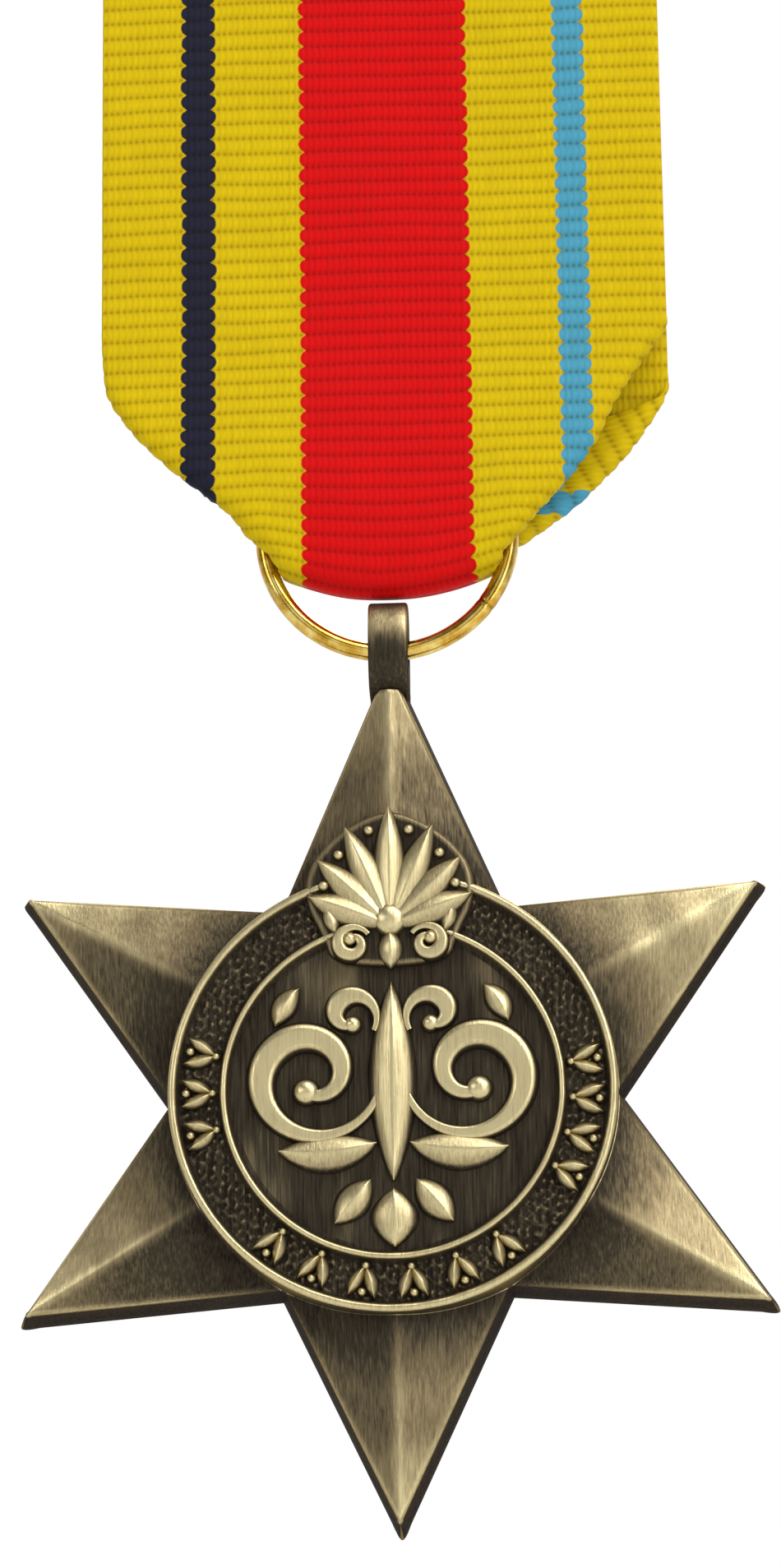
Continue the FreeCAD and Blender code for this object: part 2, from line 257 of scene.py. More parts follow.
def roundel(build):
    """The lathe-turned disc: wall, two raised rims, pebbled annulus and smooth inner field."""
    around = 900
    rim_in = ROUNDEL_R - 0.5
    pebbled = -1               # stands for a wear that the pebbles give
    # radius, height, wear
    turned = [(DISC_R, DISC_H, .35), (11.9, DISC_H, .35),
              (ROUNDEL_R, 0.3, .35), (ROUNDEL_R, 2.0, .25), (ROUNDEL_R, 3.3, .3), (ROUNDEL_R, 4.2, .5),
              (ROUNDEL_R - 0.03, 4.38, .85), (ROUNDEL_R - 0.12, RIM_H - 0.03, 1),
              (ROUNDEL_R - 0.25, RIM_H, .9), (rim_in + 0.14, RIM_H - 0.02, .95),
              (rim_in + 0.04, RIM_H - 0.14, .7), (rim_in - 0.02, 4.15, .25),
              (rim_in - 0.12, FLOOR_H + 0.03, .05)]
    turned += [(r, FLOOR_H, pebbled) for r in np.linspace(rim_in - 0.24, INNER_RIM_R + 0.2, 25)]
    turned += [(INNER_RIM_R + 0.1, FLOOR_H + 0.03, .05), (INNER_RIM_R, 4.15, .25),
               (INNER_RIM_R - 0.05, RIM_H - 0.12, .7), (INNER_RIM_R - 0.13, RIM_H - 0.01, .95),
               (INNER_RIM_R - 0.23, RIM_H, .9), (INNER_RIM_R - 0.33, RIM_H - 0.02, .95),
               (INNER_RIM_R - 0.41, RIM_H - 0.14, .7), (INNER_RIM_R - 0.47, 4.12, .25),
               (INNER_RIM_R - 0.57, FLOOR_H + 0.03, .06), (FIELD_R - 0.1, FLOOR_H, .1)]
    turned += [(r, FLOOR_H, .12) for r in (7.6, 6.6, 5.4, 4.2, 3.0, 1.8, 0.8, 0.05)]
    ang = np.linspace(0, 2 * math.pi, around, endpoint=False)
    rr, hh, ww = [np.array(q)[:, None] + 0 * ang[None] for q in zip(*turned)]
    x, z = rr * np.cos(ang), rr * np.sin(ang)
    pebble = np.maximum(0, wobble(x, z, 10.5, 21)) + 0.6 * np.maximum(0, wobble(x, z, 18.0, 22))
    field = ww < 0
    hh = np.where(field, FLOOR_H + 0.12 * pebble - 0.02, hh)
    ww = np.where(field, np.clip(0.03 + 0.25 * pebble, 0, 0.6), ww)
    # the rims are a little uneven
    dents = 0.02 * wobble(x, z, 2.4, 31)
    hh = np.where(hh > 4.3, hh + dents, hh)
    build.grid(to_world(x, z, hh), ww, wrap_cols=True, flip=True)
    disc = to_world(DISC_R * np.cos(ang[::10]), DISC_R * np.sin(ang[::10]), DISC_H)
    build.add(disc, [list(range(len(disc)))], 0.35)


def mirrored(half):
    """A section's left half with its middle, and the right half added."""
    return half + [(-a, h, w) for a, h, w in half[-2::-1]]


# sections of a struck line: place across in half widths, share of the height, wear
SECTION = mirrored([(-1.22, 0.0, .0), (-1.06, 0.35, .12), (-0.96, 0.75, .4), (-0.82, 0.95, .85),
                    (-0.45, 1.02, 1.0), (0.0, 1.0, .95)])
LEAF_SECTION = mirrored([(-1.25, 0.0, .0), (-1.05, 0.4, .2), (-0.85, 0.68, .7), (-0.4, 0.85, .85),
                         (-0.1, 0.98, .95), (0.0, 1.0, 1.0)])


def raised_line(build, pts, widths, base, top, section=SECTION):
    """A struck line: its section swept along (x, z) points, with a width at each. Thin ends are lower."""
    pts = np.asarray(pts, float)
    half = 0.5 * np.asarray(widths, float)
    ahead = np.gradient(pts, axis=0)
    ahead /= np.linalg.norm(ahead, axis=1)[:, None] + 1e-9
    side = np.stack([-ahead[:, 1], ahead[:, 0]], -1)
    grow = 0.35 + 0.65 * np.clip(half / np.max(half), 0, 1) ** 0.5
    across, height, wear = [np.array(q) for q in zip(*section)]
    x = pts[:, :1] + side[:, :1] * across * half[:, None]
    z = pts[:, 1:] + side[:, 1:] * across * half[:, None]
    h = base + (top - base) * height * grow[:, None]
    build.grid(to_world(x, z, h), np.tile(wear, (len(pts), 1)), flip=True)


def spiral(cx, cz, r0, r1, a0, a1, n):
    """n points round a middle, from radius r0 at a0 degrees to r1 at a1."""
    t = np.linspace(0, 1, n)
    a = np.radians(a0 + (a1 - a0) * t)
    r = r0 + (r1 - r0) * t
    return np.stack([cx + r * np.cos(a), cz + r * np.sin(a)], -1)


def rounded(points, times):
    """A closed outline with its corners cut again and again."""
    p = np.array(points, float)
    for _ in range(times):
        q = np.roll(p, -1, axis=0)
        p = np.stack([0.75 * p + 0.25 * q, 0.25 * p + 0.75 * q], 1).reshape(-1, 2)
    return p


def tapered(n, width, start, end, peak):
    """n widths that swell from a start share to the full width at peak and taper to an end share."""
    t = np.linspace(0, 1, n)
    up = smooth(t / peak)
    down = smooth((1 - t) / (1 - peak))
    return width * np.where(t < peak, start + (1 - start) * up, end + (1 - end) * down)


def leaf(build, at, length, width, deg, base, top, curl=0.0, n=18):
    """A pointed leaf with a sharp midrib, from its root at (x, z) towards deg."""
    t = np.linspace(0, 1, n)
    a = math.radians(deg)
    along = np.stack([np.cos(a + curl * t), np.sin(a + curl * t)], -1)
    pts = np.array(at) + length * t[:, None] * along
    raised_line(build, pts, width * (np.sin(math.pi * t) ** 0.8 + 0.05), base, top, LEAF_SECTION)


def bead(build, x, z, r, base, top, n=14):
    """A low dome on a short wall."""
    rings = [(1.12, 0.0, .0), (1.0, 0.3, .25), (0.95, 0.55, .6), (0.8, 0.78, .9), (0.5, 0.94, 1.0),
             (0.18, 1.0, 1.0)]
    ang = np.linspace(0, 2 * math.pi, n, endpoint=False)
    share, height, wear = [np.array(q)[:, None] + 0 * ang for q in zip(*rings)]
    pts = to_world(x + r * share * np.cos(ang), z + r * share * np.sin(ang), base + (top - base) * height)
    build.grid(pts, wear, wrap_cols=True, flip=True)
    build.add(pts[-1], [list(range(n))], 1.0)


def crest(build):
    """A fan of leaves with beads between their tips, rising from two small volutes."""
    plate_z, fan_z, spread = 10.6, 9.0, 23
    foot = CREST_PLATE_H - 0.15
    right = [(3.1, 6.8), (3.7, 8.6), (4.65, 10.4), (4.5, 12.4), (3.1, 14.1), (1.5, 15.1), (0.0, 15.6)]
    outline = rounded(right + [(-x, z) for x, z in right[-2::-1]], 3)
    # the plate, from its foot inwards: share of the outline, height, wear
    loops = [(1.03, 2.6, .1), (1.0, 4.1, .15), (0.985, 4.4, .5), (0.95, CREST_PLATE_H, .5),
             (0.9, 4.46, .12), (0.6, 4.44, .06), (0.05, 4.44, .06)]
    share, height, wear = [np.array(q)[:, None] for q in zip(*loops)]
    pts = to_world(outline[:, 0] * share, plate_z + (outline[:, 1] - plate_z) * share, height)
    build.grid(pts, wear + 0 * outline[:, 0], wrap_cols=True, flip=True)
    for k in range(-3, 4):
        leaf(build, (0, fan_z), 6.7 - 0.65 * abs(k), 1.5, 90 + spread * k, foot, CREST_H + 0.05, n=24)
    for k in np.arange(-2.5, 3):
        a = math.radians(90 + spread * k)
        r = 5.75 - 0.6 * abs(k)
        bead(build, r * math.cos(a), fan_z + r * math.sin(a), 0.3, foot, CREST_H - 0.05)
    for side in (1, -1):
        volute = spiral(2.05, 8.0, 1.0, 0.3, 150, -300, 80) * [side, 1]
        raised_line(build, volute, tapered(80, 0.8, 0.4, 0.5, 0.4), foot - 0.05, CREST_H)
        bead(build, *volute[-1], 0.42, foot - 0.05, CREST_H + 0.05, 16)
        leaf(build, (side * 2.9, 8.6), 1.7, 0.8, 90 - side * 20, foot - 0.05, CREST_H - 0.1)
    bead(build, 0, 9.35, 0.95, foot - 0.15, CREST_H + 0.08, 24)
    leaf(build, (0, 6.6), 2.2, 1.25, 90, foot - 0.15, CREST_H - 0.05)


def scrollwork(build):
    """A symmetric flourish on the inner field: volutes, curls, leaves, a spear leaf and a lozenge."""
    low, top = RELIEF_FOOT, RELIEF_H
    for side in (1, -1):
        volute = spiral(4.35, 0.8, 3.75, 0.9, -165, 290, 140) * [side, 1]
        raised_line(build, volute, tapered(140, 1.55, 0.3, 0.45, 0.45), low, top)
        bead(build, *volute[-1], 0.72, low, top + 0.05, 20)
        curl = spiral(2.2, 4.1, 1.5, 0.5, 215, -100, 70) * [side, 1]
        raised_line(build, curl, tapered(70, 1.15, 0.3, 0.45, 0.5), low, top)
        bead(build, *curl[-1], 0.5, low, top, 16)
        leaf(build, (side * 0.9, -2.9), 5.3, 1.8, -90 + side * 72, low, top, curl=side * 0.25)
        leaf(build, (side * 1.2, -4.9), 3.1, 1.5, -90 + side * 40, low, top)
        leaf(build, (side * 6.3, 3.6), 2.5, 1.15, 90 + side * 15, low, top - 0.05, curl=side * 0.3)
    leaf(build, (0, -5.0), 10.9, 2.1, 90, low, top + 0.05, n=30)
    leaf(build, (0, -8.6), 3.2, 2.1, 90, low, top)


def sprigs(build):
    """Twin-leaf sprigs in groups around the pebbled ring, each with a bead at its root and tip."""
    root_r, tip_r, lean = 9.72, 11.15, 30
    for deg in [168, 180, 192] + [232 + 14.4 * k for k in range(6)] + [-27, -15.5, -4, 7.5]:
        out = np.array([math.cos(math.radians(deg)), math.sin(math.radians(deg))])
        bead(build, *(root_r * out), 0.24, RELIEF_FOOT, RELIEF_H - 0.08, 12)
        bead(build, *(tip_r * out), 0.26, RELIEF_FOOT, RELIEF_H - 0.08, 12)
        for side in (-1, 1):
            leaf(build, root_r * out, 1.85, 0.66, deg + side * lean, RELIEF_FOOT, RELIEF_H,
                 curl=-0.12 * side, n=12)


star = Build()
arm(star, 90, TOP_REACH, cut_off=True)
for k in range(1, 6):
    arm(star, 90 + 60 * k, TIP_R)
roundel(star)
crest(star)
scrollwork(star)
sprigs(star)
star_obj = star.make("struck_star")
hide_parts("star")
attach(star_obj, "medal")

# ------------------------------------------------------------------ ring

def wire_ring():
    """A round wire ring with a fine butt joint, a groove between two low burrs."""
    joint_deg = -38
    build = Build()
    ang = np.linspace(0, 2 * math.pi, 360, endpoint=False)
    tube = np.linspace(0, 2 * math.pi, 20, endpoint=False)
    off = np.abs((np.degrees(ang) - joint_deg + 180) % 360 - 180)
    swell = 1 - 0.05 * np.exp(-(off / 0.7) ** 2) + 0.02 * np.exp(-((off - 2.6) / 1.2) ** 2)
    r = WIRE_R * swell[:, None]
    out = RING_R + r * np.cos(tube)
    pts = np.stack([out * np.cos(ang)[:, None], r * np.sin(tube), RING_Z + out * np.sin(ang)[:, None]], -1)
    wear = 1 - 0.45 * np.exp(-(off / 0.8) ** 2)[:, None] + 0 * tube
    build.grid(pts, wear, wrap_rows=True, wrap_cols=True)
    return build.make("wire_ring")


ring_obj = wire_ring()
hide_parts("suspension_ring")
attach(ring_obj, "ring")

# ------------------------------------------------------------------ lug

def lug():
    """A cast ear with soft edges, drilled for the ring, and a foot let into the star's back."""
    build = Build()
    wire_z = RING_Z - RING_R
    half_w = 0.5 * (lug_hi[0] - lug_lo[0])
    top = lug_hi[2] - wire_z + LUG_RAISE
    # side view round the wire: y, z
    outline = rounded([(-0.3, -2.5), (-1.0, -1.9), (-1.36, -0.8), (-1.42, 0.5), (-1.0, top - 0.75),
                       (-0.4, top - 0.1), (0.5, top), (1.3, top - 0.45), (1.8, 1.1), (1.8, -2.6),
                       (0.8, -2.75)], 3)
    ahead = np.roll(outline, -1, axis=0) - np.roll(outline, 1, axis=0)
    normal = np.stack([ahead[:, 1], -ahead[:, 0]], -1)
    normal /= np.linalg.norm(normal, axis=1)[:, None]
    if np.sum(normal * (outline - outline.mean(axis=0))) < 0:
        normal = -normal
    hole_z = -0.05
    ang = np.arctan2(outline[:, 1] - hole_z, outline[:, 0])
    hole = np.stack([np.cos(ang), np.sin(ang)], -1)
    # over the outside from one cheek to the other: place across, inset from the outline, wear
    skin = [(-1, .2, .5), (-.98, .1, .8), (-.93, .03, 1), (-.86, 0, .8), (-.4, 0, .55)]
    skin += [(-x, inset, w) for x, inset, w in skin[::-1]]
    # and back through the hole: place across, how far its mouth is opened
    bore = [(1, .06), (.95, 0), (.5, 0), (-.5, 0), (-.95, 0), (-1, .06)]
    loops = [(x, outline - normal * inset, w) for x, inset, w in skin]
    loops += [(x, hole * (LUG_HOLE_R + mouth) + [0, hole_z], .3) for x, mouth in bore]
    pts = np.array([np.insert(q + [0, wire_z], 0, x * half_w, axis=1) for x, q, _ in loops])
    wear = np.array([[w] * len(outline) for _, _, w in loops])
    # a painted highlight across its front just below the top, fading to painted shade at the top, under the
    # ribbon's fold, and down towards the foot
    wear = wear * (0.22 + 0.85 * np.exp(-((pts[..., 2] - wire_z - 1.5) / 0.95) ** 2))
    build.grid(pts, wear, wrap_rows=True, wrap_cols=True)
    # the foot goes 0.8 mm into the star and stands just proud of its back
    bottom, foot_top = lug_lo[2], wire_z - 2.0
    back, front = STAR_BACK + 0.04, STAR_BACK - 0.8
    k = 0.12                   # chamfer round the foot's back
    full = [(-half_w, bottom), (half_w, bottom), (half_w, foot_top), (-half_w, foot_top)]
    less = [(-half_w + k, bottom + k), (half_w - k, bottom + k), (half_w - k, foot_top),
            (-half_w + k, foot_top)]
    foot = [[(x, y, z) for x, z in c] for c, y in ((full, front), (full, back - k), (less, back))]
    build.grid(np.array(foot, float), 0.35, wrap_cols=True)
    build.add(foot[0], [[0, 1, 2, 3]], 0.3)
    build.add(foot[2], [[3, 2, 1, 0]], 0.4)
    return build.make("cast_lug")


lug_obj = lug()
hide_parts("suspension_lug")
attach(lug_obj, "medal")

# ------------------------------------------------------------------ ribbon

# half width of the visible panel by height above the fold, for each layer's left and right pleat
FRONT_LEFT = [(0, 5.6), (1.25, 6.4), (1.8, 7.1), (2.4, 7.5), (3.2, 7.8), (4.1, 8.5), (5.4, 9.8),
              (6.8, 11.5), (9.3, 13.8), (11.9, 15.6), (14.7, 16.5), (17, 18)]
FRONT_RIGHT = [(0, 5.6), (1.25, 6.4), (1.8, 7.0), (2.4, 7.5), (3.5, 8.1), (5.8, 10.1), (8.1, 11.7),
               (10.5, 12.7), (12.4, 13.9), (14.5, 15.3), (17.5, 18)]
BACK_LEFT = [(0, 5.4), (1.25, 5.8), (3.0, 6.4), (4.1, 7.5), (6.8, 10.5), (9.3, 12.9), (11.9, 14.8),
             (15, 16.1), (17.5, 18)]
BACK_RIGHT = [(0, 5.6), (1.25, 6.0), (2.4, 7.4), (4.0, 9.2), (5.5, 10.9), (7.5, 12.7), (9.1, 14.0),
              (11.0, 15.3), (12.5, 16.0), (15, 17.5)]
# how far each layer's middle stands from the hanging plane
DEPTH = [(0, 1.25), (1.25, 1.27), (2.4, 1.5), (5, 1.75), (9, 1.6), (14, 1.15), (18, 0.97), (22, LAYER_Y)]


def smooth_table(table):
    """A table's values at every 0.1 mm, with its corners rounded by a window of 23 samples."""
    reach = 11
    z = np.linspace(0, 24, 241)
    v = np.interp(z, *zip(*table))
    window = np.hanning(2 * reach + 1)
    padded = np.concatenate([2 * v[0] - v[reach:0:-1], v, np.full(reach, v[-1])])
    return z, np.convolve(padded, window / window.sum(), "valid")


def layer(u, up, front):
    """Middle of one hanging layer at u across and up above the fold's rounding: x, depth, height.
    Beyond its panel the cloth turns back over a leaning crease."""
    x_out, d_out, z_out = np.zeros_like(u), np.zeros_like(u), np.zeros_like(u)
    high = up + BEND_R
    stand = np.interp(high, *smooth_table(DEPTH))
    # side, panel, the crease's lean in degrees, its roll across and in depth: the front's left pleat
    # is a soft roll, the others are pressed flatter
    if front:
        sides = [(-1.0, FRONT_LEFT, 36, 1.05, 0.48), (1.0, FRONT_RIGHT, 31, 0.36, ROLL)]
    else:
        sides = [(-1.0, BACK_LEFT, 36, 0.4, ROLL), (1.0, BACK_RIGHT, 31, 0.36, ROLL)]
    for side, table, lean, roll, deep in sides:
        m = (u < 0) if side < 0 else (u >= 0)
        phi = math.radians(lean)
        half = math.pi * roll / 2
        crease = np.interp(high, *smooth_table(table)) + (half - roll) / math.cos(phi)
        past = np.abs(u) - crease
        past = np.where(past > 0, past * (0.8 + 0.2 * smooth(high / 9)), past)
        over, along = past * math.cos(phi), past * math.sin(phi)
        turn = np.clip((over + half) / roll, 0, math.pi)
        folded = np.where(over < -half, over, np.where(over < half, -half + roll * np.sin(turn), -over))
        dip = np.where(over < -half, 0, deep * (1 - np.cos(turn)))
        x = crease + math.sin(phi) * along + math.cos(phi) * folded
        z = up + math.cos(phi) * along - math.sin(phi) * folded
        x_out = np.where(m, side * x, x_out)
        z_out = np.where(m, z, z_out)
        d_out = np.where(m, stand - dip, d_out)
    return x_out, d_out, z_out


def ribbon_point(u, s):
    """Middle surface of the strip. s runs from the seam behind the bar, over it, down the front,
    round the fold and up the back."""
    turn_y = 0.5 * (LAP_Y - LAYER_Y)
    # where along the strip each stretch starts
    turn_at = LAP
    front_at = turn_at + math.pi * TURN_R
    fold_at = front_at + FRONT_LEN
    back_at = fold_at + math.pi * BEND_R
    fold_z = FOLD_Z + BEND_R
    x, y, z = u.copy(), np.zeros_like(u), np.zeros_like(u)
    m = s < turn_at
    y[m], z[m] = LAP_Y - 0.02, (TURN_Z - LAP + s)[m]
    m = (s >= turn_at) & (s < front_at)
    t = (s - turn_at) / TURN_R
    y[m], z[m] = (turn_y + TURN_R * np.cos(t))[m], (TURN_Z + TURN_R * np.sin(t))[m]
    for front in (True, False):
        m = (s >= front_at) & (s < fold_at) if front else s >= back_at
        up = fold_at - s if front else s - back_at
        fx, fd, fz = layer(u, np.maximum(up, 0), front)
        x[m], z[m] = fx[m], (fold_z + fz)[m]
        y[m] = (-fd if front else fd)[m]
    m = (s >= fold_at) & (s < back_at)
    t = (s - fold_at) / BEND_R - math.pi / 2
    mix = 0.5 + 0.5 * np.sin(t)
    zero = np.zeros_like(u)
    fx, fd, fz = layer(u, zero, True)
    bx, bd, bz = layer(u, zero, False)
    # the fold carries on along the front layer's own slope
    ex, _, ez = layer(u, zero + 0.25, True)
    dx, dz = fx - ex, fz - ez
    n = np.sqrt(dx * dx + dz * dz) + 1e-9
    depth = fd * (1 - mix) + bd * mix
    x0, z0 = fx * (1 - mix) + bx * mix, fz * (1 - mix) + bz * mix
    x[m] = (x0 + dx / n * BEND_R * np.cos(t))[m]
    z[m] = (fold_z + z0 + dz / n * BEND_R * np.cos(t))[m]
    y[m] = (depth * np.sin(t))[m]
    # the fold's middle hangs lowest
    low = np.exp(-np.maximum(z - FOLD_Z, 0) / 3.0)
    z = z + low * np.minimum(np.abs(x), 7) ** 2 / 26
    return np.stack([x, y, z], -1)


def ribbon():
    """The whole strip as one ribbed sheet with a little thickness. Returns its object and flat length."""
    total = LAP + math.pi * TURN_R + 2 * FRONT_LEN + math.pi * BEND_R - BACK_END
    s = np.arange(int(total / (RIB / RIB_STEPS))) * RIB / RIB_STEPS
    selvedge = np.array([0.0, 0.15])
    body = HALF_W - 0.3
    u = np.concatenate([selvedge - HALF_W, np.linspace(-body, body, 78), HALF_W - selvedge[::-1]])
    uu, ss = np.meshgrid(u, s)
    ripple = 0.05 * wobble(uu, ss, 0.35, 5) + 0.03 * wobble(uu, ss, 1.1, 6)
    # the ribs wander a little up and down across the ribbon
    mid = ribbon_point(uu, ss + 0.09 * wobble(uu, ss * 0.35, 0.42, 8) + 0.03 * wobble(uu, ss, 1.3, 12))
    normal = np.cross(np.gradient(mid, axis=0), np.gradient(mid, axis=1))
    normal /= np.linalg.norm(normal, axis=-1)[..., None] + 1e-12
    # on the front layer it points out of the medal's face
    if normal[len(s) // 4, len(u) // 2, 1] > 0:
        normal = -normal
    mid = mid + normal * ripple[..., None]
    phase = math.pi * ss / RIB
    rib = np.abs(np.sin(phase)) ** 0.55
    back_rib = np.abs(np.cos(phase)) ** 0.55
    half = 0.5 * THICK * (0.55 + 0.45 * smooth((HALF_W - np.abs(uu)) / 0.35))
    out = mid + normal * (half + RIB_H * (rib - 0.5))[..., None]
    inn = mid - normal * (half + RIB_H * (back_rib - 0.5))[..., None]
    verts = np.concatenate([out.reshape(-1, 3), inn.reshape(-1, 3)]) * MM
    idx = np.arange(uu.size).reshape(uu.shape)
    a, b, c, d = idx[:-1, :-1], idx[:-1, 1:], idx[1:, 1:], idx[1:, :-1]
    faces = [np.stack([a, b, c, d], -1).reshape(-1, 4), np.stack([d, c, b, a], -1).reshape(-1, 4) + uu.size]
    for line, turned in ((idx[:, 0], False), (idx[:, -1], True), (idx[0, :], True), (idx[-1, :], False)):
        q = np.stack([line[:-1], line[1:], line[1:] + uu.size, line[:-1] + uu.size], -1)
        faces.append(q[:, ::-1] if turned else q)
    mesh = bpy.data.meshes.new("grosgrain_ribbon")
    mesh.from_pydata(verts.tolist(), [], np.concatenate(faces).tolist())
    mesh.validate()
    # the flat strip's own centimetres: across and along
    uv = mesh.uv_layers.new(name="weave")
    loops = np.empty(len(mesh.loops), np.int32)
    mesh.loops.foreach_get("vertex_index", loops)
    flat = np.tile(np.stack([uu.ravel(), ss.ravel()], -1), (2, 1)) * 0.1
    uv.data.foreach_set("uv", flat[loops].astype(np.float32).ravel())
    layer_rib = mesh.attributes.new("rib", "FLOAT", "POINT")
    layer_rib.data.foreach_set("value", np.tile(rib.ravel(), 2).astype(np.float32))
    return add_object("grosgrain_ribbon", mesh), s[-1]


ribbon_obj, ribbon_length = ribbon()
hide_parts("ribbon_upper", "ribbon_lower")
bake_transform(ribbon_obj)

# ------------------------------------------------------------------ thread

def thread():
    """Running stitches through the ribbon below the bar, in front and behind by turns."""
    z = 0.5 * (stitch_lo[2] + stitch_hi[2])
    build = Build()
    ang = np.linspace(0, 2 * math.pi, 8, endpoint=False)
    t = np.linspace(0, 1, 14)[:, None]
    rise = np.sin(math.pi * t) ** 0.5
    # twisted, so not quite round
    r = THREAD_R * (1 + 0.12 * np.cos(2 * ang + 18 * t))
    for k in range(STITCHES):
        x = STITCH_PITCH * (k - 0.5 * STITCHES + t) + 0 * ang
        y = -(0.95 + 0.36 * rise) if k % 2 == 0 else 1.3 + 0.5 * rise
        pts = np.stack([x, y + r * np.cos(ang), z + r * np.sin(ang)], -1)
        build.grid(pts, 0.5, wrap_cols=True, flip=True)
    return build.make("seam_thread")


thread_obj = thread()
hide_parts("ribbon_stitching")
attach(thread_obj, "brooch")

# ------------------------------------------------------------------ materials

class Nodes:
    """A material with short ways to add its shader nodes."""

    def __init__(self, name):
        self.mat = bpy.data.materials.new(name)
        self.mat.use_nodes = True
        self.tree = self.mat.node_tree
        self.bsdf = self.tree.nodes["Principled BSDF"]

    def new(self, kind, **inputs):
        node = self.tree.nodes.new("ShaderNode" + kind)
        for key, value in inputs.items():
            self.put(node, key, value)
        return node

    def put(self, node, key, value):
        name = key.replace("_", " ") if isinstance(key, str) else key
        sock = node.inputs[name]
        if isinstance(value, bpy.types.NodeSocket):
            self.tree.links.new(value, sock)
        else:
            sock.default_value = value

    def coords(self):
        return self.new("TexCoord").outputs["Object"]

    def axes(self, vec):
        return self.new("SeparateXYZ", Vector=vec).outputs

    def stretch(self, vec, scale):
        return self.new("Mapping", Vector=vec, Scale=scale).outputs["Vector"]

    def noise(self, vec, scale, detail=4.0, rough=0.55):
        node = self.new("TexNoise", Vector=vec, Scale=scale, Detail=detail, Roughness=rough)
        return node.outputs["Fac"]

    def math(self, op, a, b=0.0, c=0.0, clamp=False):
        node = self.new("Math")
        node.operation = op
        node.use_clamp = clamp
        for i, v in enumerate((a, b, c)):
            self.put(node, i, v)
        return node.outputs[0]

    def vary(self, value, noise, share, clamp=False):
        """The value with a share of a noise, taken about the noise's middle, added to it."""
        return self.math("ADD", value, self.math("MULTIPLY", self.math("SUBTRACT", noise, 0.5), share),
                         clamp=clamp)

    def ramp(self, fac, stops):
        node = self.new("ValToRGB")
        self.tree.links.new(fac, node.inputs[0])
        elements = node.color_ramp.elements
        while len(elements) < len(stops):
            elements.new(0.5)
        for element, (at, colour) in zip(elements, stops):
            element.position = at
            element.color = (*colour, 1)
        return node.outputs[0]

    def remap(self, value, from_lo, from_hi, to_lo, to_hi):
        node = self.new("MapRange")
        for i, v in enumerate((value, from_lo, from_hi, to_lo, to_hi)):
            self.put(node, i, v)
        return node.outputs[0]

    def mix(self, fac, a, b, blend="MIX"):
        node = self.new("Mix")
        node.data_type = "RGBA"
        node.blend_type = blend
        # of the node's sockets, 0 is the factor and 6 and 7 are the two colours
        self.put(node, 0, fac)
        for i, colour in ((6, a), (7, b)):
            self.put(node, i, colour if isinstance(colour, bpy.types.NodeSocket) else (*colour, 1))
        return node.outputs[2]

    def attr(self, name):
        node = self.new("Attribute")
        node.attribute_name = name
        return node.outputs["Fac"]

    def bump(self, height, strength, distance_mm):
        node = self.new("Bump", Height=height, Strength=strength, Distance=distance_mm * MM)
        self.tree.links.new(node.outputs[0], self.bsdf.inputs["Normal"])

    def out(self, **inputs):
        for key, value in inputs.items():
            self.put(self.bsdf, key, value)
        return self.mat


def rgb(*colour):
    """sRGB 0-255 to linear."""
    shares = [c / 255 for c in colour]
    return tuple(c / 12.92 if c < 0.04045 else ((c + 0.055) / 1.055) ** 2.4 for c in shares)


def star_brass():
    """Brass, darkened in the recesses and by painted shade round the roundel's foot, rubbed paler by the
    wear value and by upright brushing; the wear value also carries painted light and shade on the star's
    facets and the lug.
    """
    n = Nodes("antique_brass_struck")
    co = n.coords()
    # wear, with painted light and shade on the facets and the lug
    wear = n.attr("wear")
    streak = n.noise(n.stretch(co, (1.0, 1.0, 0.045)), 9000, 3, 0.6)
    coarse = n.noise(n.stretch(co, (1.0, 1.0, 0.12)), 2200, 4, 0.6)
    cloud = n.noise(co, 300, 5, 0.6)
    grit = n.noise(co, 3200, 6, 0.7)
    x, y, z = n.axes(co)
    up = n.math("SUBTRACT", z, STAR_Z * MM)
    rad = n.math("SQRT", n.math("ADD", n.math("POWER", x, 2.0), n.math("POWER", up, 2.0)))
    # painted shade, with the patina that gathers there, darkens the arms round the roundel's foot, but not
    # the crest that stands over the top one
    out_of_foot_shade = n.remap(rad, (ROUNDEL_R + 0.1) * MM, (ROUNDEL_R + 4.0) * MM, 0.0, 1.0)
    inside = n.math("LESS_THAN", rad, (ROUNDEL_R + 0.05) * MM)
    high = n.math("LESS_THAN", y, (STAR_BACK - FLOOR_H - 0.05) * MM)
    unshaded = n.math("MAXIMUM", n.math("MAXIMUM", out_of_foot_shade, inside), high)
    lit = n.math("MULTIPLY", wear, n.math("MULTIPLY_ADD", unshaded, 0.7, 0.3))
    lit = n.vary(n.vary(lit, streak, 0.52), coarse, 0.15)
    lit = n.vary(lit, cloud, 0.2, clamp=True)
    # the inner field is brushed paler in patches
    patch = n.remap(n.noise(n.stretch(co, (1.0, 1.0, 0.5)), 260, 2, 0.4), 0.5, 0.68, 0.0, 0.3)
    field = n.math("LESS_THAN", rad, FIELD_R * MM)
    low = n.math("COMPARE", y, (STAR_BACK - FLOOR_H) * MM, 0.12 * MM)
    lit = n.math("ADD", lit, n.math("MULTIPLY", n.math("MULTIPLY", patch, field), low))
    colour = n.ramp(lit, [(0.0, rgb(35, 29, 24)), (0.2, rgb(67, 60, 48)), (0.45, rgb(124, 110, 82)),
                          (0.72, rgb(168, 153, 115)), (1.0, rgb(214, 199, 152))])
    rough = n.vary(n.remap(lit, 0.0, 1.0, 0.62, 0.3), grit, 0.16)
    n.bump(n.math("ADD", n.math("MULTIPLY", streak, 0.6), n.math("MULTIPLY", grit, 0.5)), 0.35, 0.06)
    n.bsdf.inputs["Specular IOR Level"].default_value = 0.15
    n.bsdf.inputs["Specular Tint"].default_value = (0.4, 0.33, 0.24, 1)
    return n.out(Base_Color=colour, Metallic=n.remap(lit, 0.05, 0.45, 0.6, 1.0), Roughness=rough)


